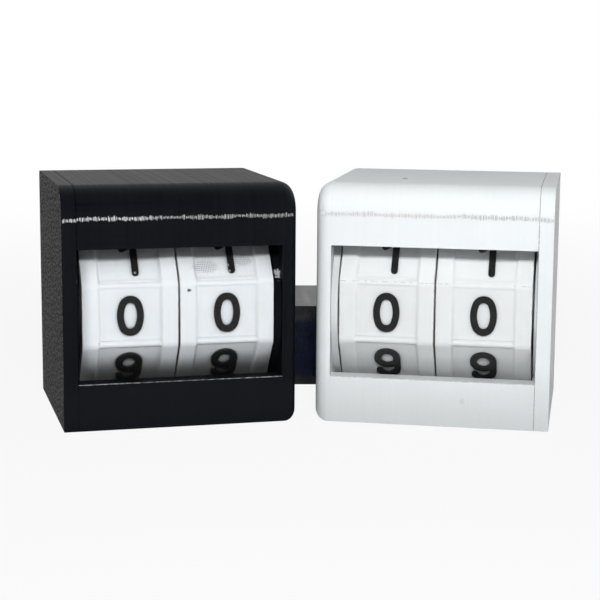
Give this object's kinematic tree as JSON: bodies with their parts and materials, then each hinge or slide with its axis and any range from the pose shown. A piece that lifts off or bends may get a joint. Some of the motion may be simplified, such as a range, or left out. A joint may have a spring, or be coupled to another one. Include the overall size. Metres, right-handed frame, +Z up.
{
  "type": "tabletop number wheel scoreboard",
  "caption": "Tabletop scoreboard: a black and a white box counter, toed in and joined by a bar behind, with faceted number wheels turned by thumb in open front windows.",
  "frame": {"origin": "on the table under the middle of the whole part's box", "axes": "+Z up, the two windows face -Y and turn in towards each other, the black counter is at -X and the white one at +X"},
  "size_m": [0.1176, 0.078, 0.05],
  "materials": {
    "black_plastic": "printed, satin",
    "white_plastic": "printed, satin",
    "wheel_plastic": "printed, matt",
    "numeral_plastic": "printed, matt",
    "axle_plastic": "printed",
    "washer_plastic": "plain",
    "spring_steel": "plain strip",
    "bar_plastic": "smooth"
  },
  "bodies": {
    "fixed_parts": {"link_bar": "bar_plastic", "black_housing": "black_plastic", "black_end_cover": "black_plastic", "black_axle": "axle_plastic", "black_thrust_washers": "washer_plastic", "black_tens_click_spring": "spring_steel", "black_units_click_spring": "spring_steel", "white_housing": "white_plastic", "white_end_cover": "white_plastic", "white_axle": "axle_plastic", "white_thrust_washers": "washer_plastic", "white_tens_click_spring": "spring_steel", "white_units_click_spring": "spring_steel"},
    "black_tens": {"black_tens_wheel": "wheel_plastic", "black_tens_numerals": "numeral_plastic"},
    "black_units": {"black_units_wheel": "wheel_plastic", "black_units_numerals": "numeral_plastic"},
    "white_tens": {"white_tens_wheel": "wheel_plastic", "white_tens_numerals": "numeral_plastic"},
    "white_units": {"white_units_wheel": "wheel_plastic", "white_units_numerals": "numeral_plastic"}
  },
  "joints": [
    {"name": "black_tens_turn", "type": "hinge", "parent": "fixed_parts", "child": "black_tens", "pos_m": [-0.0403, -0.01652, 0.0235], "axis": [0.9763, 0.2164, 0], "continuous": true, "deforming": ["black_tens_click_spring"]},
    {"name": "black_units_turn", "type": "hinge", "parent": "fixed_parts", "child": "black_units", "pos_m": [-0.02067, -0.01217, 0.0235], "axis": [0.9763, 0.2164, 0], "continuous": true, "deforming": ["black_units_click_spring"]},
    {"name": "white_tens_turn", "type": "hinge", "parent": "fixed_parts", "child": "white_tens", "pos_m": [0.02067, -0.01217, 0.0235], "axis": [0.9763, -0.2164, 0], "continuous": true, "deforming": ["white_tens_click_spring"]},
    {"name": "white_units_turn", "type": "hinge", "parent": "fixed_parts", "child": "white_units", "pos_m": [0.0403, -0.01652, 0.0235], "axis": [0.9763, -0.2164, 0], "continuous": true, "deforming": ["white_units_click_spring"]}
  ]
}
